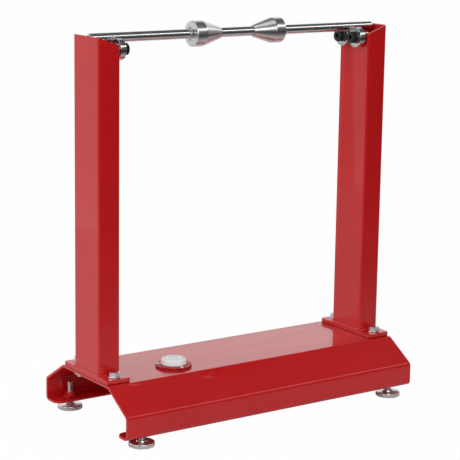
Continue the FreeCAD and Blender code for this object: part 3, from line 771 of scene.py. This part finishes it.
hexHead = hexBlock("hexHead", plateBolt["across"], plateBolt["head"])
hexNut = hexBlock("hexNut", plateBolt["across"], plateBolt["nut"], True, plateBolt["core"])
flatWasher = washerRing("flatWasher", plateBolt["washer"], plateBolt["size"] + plateBolt["play"],
                        plateBolt["washerThick"])
for side in sideSign:
    plateLow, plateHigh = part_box("post_plate_" + side)
    boltLow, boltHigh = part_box("plate_bolts_" + side)
    middleX = (plateLow.x + plateHigh.x) / 2
    headFloor = boltHigh.z - plateBolt["head"] * mm
    baseUnder = plateLow.z - plateBolt["sheet"] * mm
    shankLength = (headFloor - boltLow.z) / mm
    shank = threadedRod("shank", plateBolt["size"], 0, shankLength,
                        shankLength - plateBolt["thread"])
    bolts, nuts, upper, lower = [], [], [], []
    for end, lean in plateBolt["leans"].items():
        y = end * (plateHigh.y - plateBolt["inset"] * mm)
        spin = math.radians(lean)
        bolts.append(placed(hexHead, "head", (middleX, y, headFloor), (0, 0, spin)))
        bolts.append(placed(shank, "shank", (middleX, y, headFloor), (math.pi, 0, spin)))
        upper.append(placed(flatWasher, "washer", (middleX, y, plateHigh.z)))
        washerFloor = baseUnder - plateBolt["washerThick"] * mm
        lower.append(placed(flatWasher, "washer", (middleX, y, washerFloor)))
        nutFloor = washerFloor - plateBolt["nut"] * mm
        nuts.append(placed(hexNut, "nut", (middleX, y, nutFloor), (0, 0, -spin)))
    discard(shank)
    for pieceName, group, node in (("plateBolts_", bolts, "plate_bolts_"),
                                   ("plateNuts_", nuts, "plate_nuts_"),
                                   ("plateWashers_", upper, "plate_washers_"),
                                   ("backWashers_", lower, "plate_back_washers_")):
        finishPiece(joined(pieceName + side, group), "stand", "zinc", node + side)
print("plate bolts")

# Nuts welded on the inward lips: each a hexagon with a ring of short beads at its foot.
weldedNut = {"across": 13, "height": 6.5, "bore": 8.1, "tack": 1.9, "tacks": 8, "sway": 9,
             "reach": 0.3, "lift": 0.4, "skin": 0.4, "seed": 5}


def makeWeldedNuts():
    pattern = hexBlock("pattern", weldedNut["across"], weldedNut["height"], True,
                       weldedNut["bore"], 90)
    draw = random.Random(weldedNut["seed"])
    parts = [pattern]
    reach = weldedNut["across"] / 2 + weldedNut["reach"]
    for index in range(weldedNut["tacks"]):
        clearSelection()
        sway = draw.uniform(-weldedNut["sway"], weldedNut["sway"])
        angle = math.radians(360 / weldedNut["tacks"] * index + sway)
        spot = Vector((reach * math.cos(angle), reach * math.sin(angle), weldedNut["lift"])) * mm
        bpy.ops.mesh.primitive_uv_sphere_add(segments=12, ring_count=8,
                                             radius=weldedNut["tack"] * mm, location=spot)
        tack = bpy.context.object
        tack.scale = (draw.uniform(0.8, 1.2), draw.uniform(0.8, 1.2), draw.uniform(0.7, 1.0))
        bpy.ops.object.transform_apply(location=True, rotation=True, scale=True)
        parts.append(tack)
    pattern = joined("pattern", parts)
    applyModifier(pattern, "REMESH", mode="VOXEL", voxel_size=weldedNut["skin"] * mm)
    bpy.ops.object.shade_smooth()
    nutLow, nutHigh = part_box("foot_weld_nuts")
    nuts = []
    for side in sideSign:
        for spot in spotNames:
            low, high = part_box("foot_stud_%s_%s" % (side, spot))
            middle = (low + high) / 2
            nuts.append(placed(pattern, "nut", (middle.x, middle.y, nutLow.z),
                               (0, 0, draw.uniform(0, math.pi / 3))))
    discard(pattern)
    finishPiece(joined("weldedNuts", nuts), "stand", "red_paint", "foot_weld_nuts")


makeWeldedNuts()
print("welded nuts")

# Levelling feet: a turned disc with a socket boss, and a threaded stud on a ball collar.
foot = {"disc": 32, "thick": 6, "boss": 13, "bossTop": 7.5, "mouth": 9, "cup": 10.7,
        "cupFloor": 3, "stud": 7.9, "collar": 10.5, "collarHigh": 3}


def footDisc():
    rim = foot["disc"] / 2
    top = foot["thick"]
    boss = foot["boss"] / 2
    bossTop = foot["bossTop"]
    mouth = foot["mouth"] / 2
    cup = foot["cup"] / 2
    profile = [(0, 0.5), (rim - 4, 0.5), (rim - 3.6, 0.05), (rim - 1.1, 0)]
    profile += arc((rim - 1.1, 1.1), 1.1, -90, 0, 4)
    profile += arc((rim - 1.3, top - 1.7), 1.3, 0, 80, 5)
    profile += [(boss + 1.4, top + 0.02), (boss + 0.4, top + 0.25)]
    profile += arc((boss - 0.5, bossTop - 0.5), 0.5, 0, 90, 3)
    profile += [(mouth + 0.2, bossTop), (mouth, bossTop - 0.2), (mouth, bossTop - 0.9),
                (cup, bossTop - 1.2), (cup, foot["cupFloor"]), (0, foot["cupFloor"])]
    piece = turned("footDisc", profile, 80)
    smoothBy(piece, 40)
    return piece


def footStud(low, high):
    reach = foot["collar"] / 2
    top = foot["collarHigh"]
    rod = threadedRod("rod", foot["stud"], top - 0.3, high - low, top + 1.5)
    collar = turned("collar", [(0, 0), (reach - 0.8, 0), (reach, 0.8), (reach, top - 0.6),
                               (reach - 0.6, top), (0, top)], 48)
    smoothBy(collar, 40)
    return joined("footStud", [rod, collar])


studLow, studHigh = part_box("foot_stud_left_front")
discPattern = footDisc()
studPattern = footStud(studLow.z / mm, studHigh.z / mm)
for side in sideSign:
    for spot in spotNames:
        name = "%s_%s" % (side, spot)
        low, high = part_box("foot_pad_" + name)
        middle = (low + high) / 2
        disc = placed(discPattern, "footDisc_" + name, (middle.x, middle.y, low.z))
        finishPiece(disc, "foot_pad_" + name, "zinc", "foot_pad_" + name)
        stud = placed(studPattern, "footStud_" + name, (middle.x, middle.y, studLow.z))
        finishPiece(stud, "foot_stud_" + name, "zinc", "foot_stud_" + name)
print("feet")

# Ball bearings: rounded rings with their races, and pressed shields with a stepped face.
bearing = {"bore": 10, "size": 26, "width": 8, "pitch": 9, "ball": 4.7625, "race": 2.48,
           "gap": 0.02, "innerShoulder": 7.3, "outerShoulder": 10.7, "soft": 0.5,
           "shieldStart": 0.3, "shieldThick": 0.35, "shieldStep": 0.22, "shieldInner": 7.56}


def outerRing():
    rim = bearing["size"] / 2
    width = bearing["width"]
    soft = bearing["soft"]
    raceCentre = bearing["pitch"] + bearing["ball"] / 2 + bearing["gap"] - bearing["race"]
    reach = math.degrees(math.acos((bearing["outerShoulder"] - raceCentre) / bearing["race"]))
    profile = [(bearing["outerShoulder"], 0)]
    profile += arc((rim - soft, soft), soft, -90, 0, 4)
    profile += arc((rim - soft, width - soft), soft, 0, 90, 4)
    profile += [(bearing["outerShoulder"], width)]
    profile += arc((raceCentre, width / 2), bearing["race"], reach, -reach, 10)
    piece = turned("outerRing", closed(profile), 96)
    smoothBy(piece, 40)
    return piece


def innerRing():
    bore = bearing["bore"] / 2
    width = bearing["width"]
    soft = bearing["soft"]
    raceCentre = bearing["pitch"] - bearing["ball"] / 2 - bearing["gap"] + bearing["race"]
    reach = math.degrees(math.acos((raceCentre - bearing["innerShoulder"]) / bearing["race"]))
    profile = arc((bore + soft, width - soft), soft, 90, 180, 3)
    profile += arc((bore + soft, soft), soft, 180, 270, 3)
    profile += [(bearing["innerShoulder"], 0)]
    profile += arc((raceCentre, width / 2), bearing["race"], 180 + reach, 180 - reach, 10)
    profile += [(bearing["innerShoulder"], width)]
    piece = turned("innerRing", closed(profile), 80)
    smoothBy(piece, 40)
    return piece


def shieldPair():
    thick = bearing["shieldThick"]
    step = bearing["shieldStep"]
    rim = bearing["outerShoulder"] - 0.02
    inner = bearing["shieldInner"]
    outward = [(rim, 0.1), (rim - 0.15, 0), (rim - 0.5, 0), (rim - 0.75, step),
               (inner + 0.5, step), (inner + 0.2, 0.3), (inner, 0.5)]
    inward = [(inner + 0.1, 0.55 + thick), (inner + 0.55, step + thick),
              (rim - 0.9, step + thick), (rim - 0.55, thick), (rim, thick)]
    near = [(radius, bearing["shieldStart"] + depth) for radius, depth in outward + inward]
    far = [(radius, bearing["width"] - height) for radius, height in near]
    shields = [turned("shield", closed(profile), 80) for profile in (near, far)]
    for shield in shields:
        smoothBy(shield, 50)
    return joined("shieldPair", shields)


def facing(sign):
    return (0, sign * math.pi / 2, 0)


ringPattern, corePattern, shieldPattern = outerRing(), innerRing(), shieldPair()
for side, sign in sideSign.items():
    for spot in spotNames:
        name = "%s_%s" % (side, spot)
        low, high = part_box("bearing_outer_" + name)
        middle = (low + high) / 2
        start = (low.x if sign > 0 else high.x, middle.y, middle.z)
        for pattern, label, body, slot, node in (
                (ringPattern, "outerRing_", "roller_" + name, "bearing_steel", "bearing_outer_"),
                (shieldPattern, "shields_", "roller_" + name, "shield_steel", "bearing_shields_"),
                (corePattern, "innerRing_", "stand", "bearing_steel", "bearing_inner_")):
            copy = placed(pattern, label + name, start, facing(sign))
            finishPiece(copy, body, slot, node + name)
print("bearings")

# Socket screws with a knurled head, and the hexagon nuts inside each post.
socketScrew = {"head": 14.6, "height": 8, "size": 8, "socket": 6, "depth": 4.5, "soft": 1,
               "ridges": 44, "ridgeDepth": 0.22, "thread": 12, "nutAcross": 13, "nut": 6.5,
               "core": 7.1, "rolls": {"front": 0.35, "rear": 0.9}}


def socketHead():
    rim = socketScrew["head"] / 2
    height = socketScrew["height"]
    soft = socketScrew["soft"]
    profile = [(0, 0), (rim - 0.3, 0), (rim, 0.3), (rim, 0.6), (rim, height - soft - 0.2)]
    profile += arc((rim - soft, height - soft), soft, 0, 90, 5)
    profile += [(socketScrew["socket"] / 2 + 1.1, height), (0, height)]
    columns = socketScrew["ridges"] * 2
    piece = turned("socketHead", profile, columns)
    for vertex in piece.data.vertices:
        reach = math.hypot(vertex.co.x, vertex.co.y)
        column = round(math.atan2(vertex.co.y, vertex.co.x) / math.tau * columns)
        if reach > (rim - 0.01) * mm and vertex.co.z > 0.5 * mm and column % 2:
            vertex.co.x *= 1 - socketScrew["ridgeDepth"] * mm / reach
            vertex.co.y *= 1 - socketScrew["ridgeDepth"] * mm / reach
    cutSocket(piece, socketScrew["socket"], socketScrew["depth"], height)
    key = socketScrew["socket"] / 2
    mouth = turned("mouth", [(0, height - 0.6), (key, height - 0.6), (key + 1.6, height + 1),
                             (0, height + 1)], 48)
    cutBy(piece, mouth)
    smoothBy(piece, 30)
    return piece


headPattern = socketHead()
nutPattern = hexBlock("lockNut", socketScrew["nutAcross"], socketScrew["nut"], True,
                      socketScrew["core"], 30)
for side, sign in sideSign.items():
    screwLow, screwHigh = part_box("bearing_screws_" + side)
    nutLow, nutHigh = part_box("bearing_nuts_" + side)
    inward = screwLow.x if sign > 0 else screwHigh.x
    outward = screwHigh.x if sign > 0 else screwLow.x
    shoulder = inward + sign * socketScrew["height"] * mm
    shankLength = abs(outward - shoulder) / mm
    shank = threadedRod("shank", socketScrew["size"], 0, shankLength,
                        shankLength - socketScrew["thread"])
    heads, nuts = [], []
    for spot in spotNames:
        low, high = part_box("bearing_outer_%s_%s" % (side, spot))
        middle = (low + high) / 2
        heads.append(placed(headPattern, "head", (shoulder, middle.y, middle.z),
                            (0, -sign * math.pi / 2, socketScrew["rolls"][spot])))
        heads.append(placed(shank, "shank", (shoulder, middle.y, middle.z), facing(sign)))
        nutStart = nutLow.x if sign > 0 else nutHigh.x
        nuts.append(placed(nutPattern, "nut", (nutStart, middle.y, middle.z), facing(sign)))
    discard(shank)
    finishPiece(joined("socketScrews_" + side, heads), "stand", "black_oxide",
                "bearing_screws_" + side)
    finishPiece(joined("lockNuts_" + side, nuts), "stand", "zinc", "bearing_nuts_" + side)
print("socket screws")

# Ground shaft with broken corners and a centre-drilled dimple in each end.
shaft = {"size": 12, "chamfer": 1, "dimple": 1.6, "rows": 12}


def makeShaft():
    low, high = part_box("shaft")
    middle = (low + high) / 2
    half = (high.x - low.x) / 2 / mm
    radius = shaft["size"] / 2
    chamfer = shaft["chamfer"]
    ends = [(0, half - 2.2), (shaft["dimple"] * 0.45, half - 1.9), (shaft["dimple"], half),
            (radius - chamfer - 0.1, half), (radius - chamfer, half - 0.05),
            (radius - 0.05, half - chamfer), (radius, half - chamfer - 0.1)]
    rows = [(radius, half * (1 - 2 * index / shaft["rows"])) for index in range(1, shaft["rows"])]
    profile = ends + rows + [(reach, -height) for reach, height in reversed(ends)]
    piece = turned("shaft", profile, 96)
    smoothBy(piece, 40)
    piece.name = "groundShaft"
    moved(piece, middle, (0, math.pi / 2, 0))
    finishPiece(piece, "shaft", "polished_steel", "shaft")


makeShaft()
print("shaft")

# Centring cones: recessed big face, finely knurled band, turned taper and a grub screw.
cone = {"bore": 6.05, "size": 32, "band": 14, "length": 42, "nose": 7.25, "recess": 9.0,
        "recessDepth": 2, "chamfer": 0.8, "knurls": 90, "knurlDepth": 0.06, "knurlFrom": 1.6,
        "knurlTo": 12.6, "grubSize": 5.9, "grubLong": 7.5, "grubSocket": 3, "grubDepth": 3,
        "hole": 3.1}


def coneBlank():
    rim = cone["size"] / 2
    chamfer = cone["chamfer"]
    nose = cone["nose"]
    length = cone["length"]
    rowStep = math.pi * cone["size"] / cone["knurls"] / 4
    rows = int((cone["knurlTo"] - cone["knurlFrom"]) / rowStep)
    band = [(rim, cone["knurlFrom"] + index * rowStep) for index in range(rows + 1)]
    profile = [(cone["bore"], cone["recessDepth"]), (cone["recess"], cone["recessDepth"]),
               (cone["recess"], 0.2), (cone["recess"] + 0.2, 0), (rim - chamfer, 0), (rim, chamfer)]
    profile += band + [(rim, cone["band"] - 0.25), (rim - 0.12, cone["band"] + 0.1)]
    profile += [(rim + (nose - rim) * part, cone["band"] + (length - cone["band"]) * part)
                for part in (0.04, 0.25, 0.5, 0.75, 0.985)]
    profile += [(nose - 0.25, length), (cone["bore"] + 0.5, length), (cone["bore"], length - 0.5)]
    piece = turned("coneBlank", closed(profile), cone["knurls"] * 4)
    for vertex in piece.data.vertices:
        x, y, z = vertex.co / mm
        reach = math.hypot(x, y)
        if reach < rim - 0.02 or not cone["knurlFrom"] + 0.1 < z < cone["knurlTo"] - 0.1:
            continue
        around = math.atan2(y, x) * cone["knurls"] / 2
        along = z / rowStep * math.pi / 4
        ridge = max(abs(math.sin(around + along)), abs(math.sin(around - along)))
        narrowed = rim - cone["knurlDepth"] * ridge
        vertex.co.x *= narrowed / reach
        vertex.co.y *= narrowed / reach
    return piece


def grubScrew():
    rod = threadedRod("grubScrew", cone["grubSize"], 0, cone["grubLong"], 0.2, pitch=1.0,
                      depth=0.5, steps=32, rows=6)
    cutSocket(rod, cone["grubSocket"], cone["grubDepth"], cone["grubLong"])
    smoothBy(rod, 30)
    return rod


conePattern, grubPattern = coneBlank(), grubScrew()
for side, sign in sideSign.items():
    low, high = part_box("cone_" + side)
    middle = (low + high) / 2
    bigFace = high.x if sign > 0 else low.x
    turnedCone = placed(conePattern, "centringCone_" + side, (bigFace, middle.y, middle.z),
                        facing(-sign))
    grubLow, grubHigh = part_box("cone_screw_" + side)
    grubMiddle = (grubLow + grubHigh) / 2
    clearSelection()
    bpy.ops.mesh.primitive_cylinder_add(vertices=40, radius=cone["hole"] * mm, depth=20 * mm,
                                        location=(grubMiddle.x, middle.y + 15 * mm, middle.z),
                                        rotation=(math.pi / 2, 0, 0))
    bpy.ops.object.transform_apply(location=True, rotation=True, scale=True)
    cutBy(turnedCone, bpy.context.object)
    smoothBy(turnedCone, 32)
    finishPiece(turnedCone, "cone_" + side, "turned_steel", "cone_" + side)
    grub = placed(grubPattern, "grubScrew_" + side, (grubMiddle.x, grubLow.y, grubMiddle.z),
                  (-math.pi / 2, 0, 0))
    finishPiece(grub, "cone_screw_" + side, "black_oxide", "cone_screw_" + side)
discard(conePattern, grubPattern)
print("cones")

# Round bubble level: clear flanged cap, two ring marks on its top and three screws.
level = {"flange": 46, "flangeThick": 3, "body": 32.5, "top": 28, "crown": 11, "cavity": 24,
         "fill": 8, "dome": 1.2, "rings": ((9.4, 0.8), (22.6, 0.7)), "ringHigh": 0.12,
         "screwCircle": 39, "screwAngles": (-90, 30, 150), "screwHole": 3, "screwHead": 5,
         "screwHigh": 1.4, "screwSize": 2.9, "screwSlot": (3, 0.6, 1.6)}
levelLow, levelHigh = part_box("level_housing")
levelSpot = Vector(((levelLow.x + levelHigh.x) / 2, (levelLow.y + levelHigh.y) / 2, levelLow.z))


def levelScrewSpot(angle):
    way = Vector((math.cos(math.radians(angle)), math.sin(math.radians(angle)), 0))
    return way * (level["screwCircle"] / 2 * mm)


def levelCap():
    rim = level["flange"] / 2
    thick = level["flangeThick"]
    crown = level["crown"]
    cavity = level["cavity"] / 2
    fill = level["fill"]
    body = level["body"] / 2
    top = level["top"] / 2
    profile = [(cavity, 0), (rim - 0.5, 0), (rim, 0.5)]
    profile += arc((rim - 0.7, thick - 0.7), 0.7, 0, 90, 3)
    profile += [(body + 0.5, thick), (body, thick + 0.4), (body - 0.1, thick + 2.4)]
    profile += arc((top - 1.2, crown - 2.2), 2.2, 12, 82, 6)
    profile += [(top - 4, crown), (0, crown), (0, fill + level["dome"]),
                (cavity * 0.5, fill + level["dome"] * 0.75), (cavity, fill)]
    cap = turned("levelCap", closed(profile), 96)
    for angle in level["screwAngles"]:
        clearSelection()
        bpy.ops.mesh.primitive_cylinder_add(vertices=32, radius=level["screwHole"] / 2 * mm,
                                            depth=12 * mm, location=levelScrewSpot(angle))
        cutBy(cap, bpy.context.object)
    moved(cap, levelSpot)
    smoothBy(cap, 35)
    finishPiece(cap, "stand", "clear_plastic", "level_housing")


def levelMarks():
    high = level["ringHigh"]
    marks = []
    for size, wide in level["rings"]:
        inner = size / 2
        outer = inner + wide
        marks.append(turned("mark", closed([(inner, 0), (outer, 0), (outer, high), (inner, high)])))
    mark = moved(joined("levelMarks", marks),
                 levelSpot + Vector((0, 0, (level["crown"] + 0.01) * mm)))
    finishPiece(mark, "stand", "black_oxide")


def levelScrews():
    head = level["screwHead"] / 2
    shank = level["screwSize"] / 2
    profile = [(0, -4), (shank, -4), (shank, 0), (head, 0)]
    profile += arc((head - 1.1, 0.25), 1.1, 0, 80, 4) + [(0, level["screwHigh"])]
    screw = turned("panHead", profile, 40)
    for turn in (0, math.pi / 2):
        clearSelection()
        bpy.ops.mesh.primitive_cube_add(size=mm, location=(0, 0, level["screwHigh"] * mm),
                                        rotation=(0, 0, turn))
        bpy.context.object.scale = level["screwSlot"]
        bpy.ops.object.transform_apply(location=True, rotation=True, scale=True)
        cutBy(screw, bpy.context.object)
    smoothBy(screw, 35)
    screws = []
    for angle in level["screwAngles"]:
        place = levelSpot + levelScrewSpot(angle) + Vector((0, 0, level["flangeThick"] * mm))
        screws.append(placed(screw, "screw", place, (0, 0, math.radians(angle * 0.4 + 17))))
    discard(screw)
    finishPiece(joined("levelScrews", screws), "stand", "zinc", "level_screws")


levelCap()
levelMarks()
levelScrews()
discard(hexHead, hexNut, flatWasher, discPattern, studPattern, ringPattern, corePattern,
        shieldPattern, headPattern, nutPattern)
print("level")
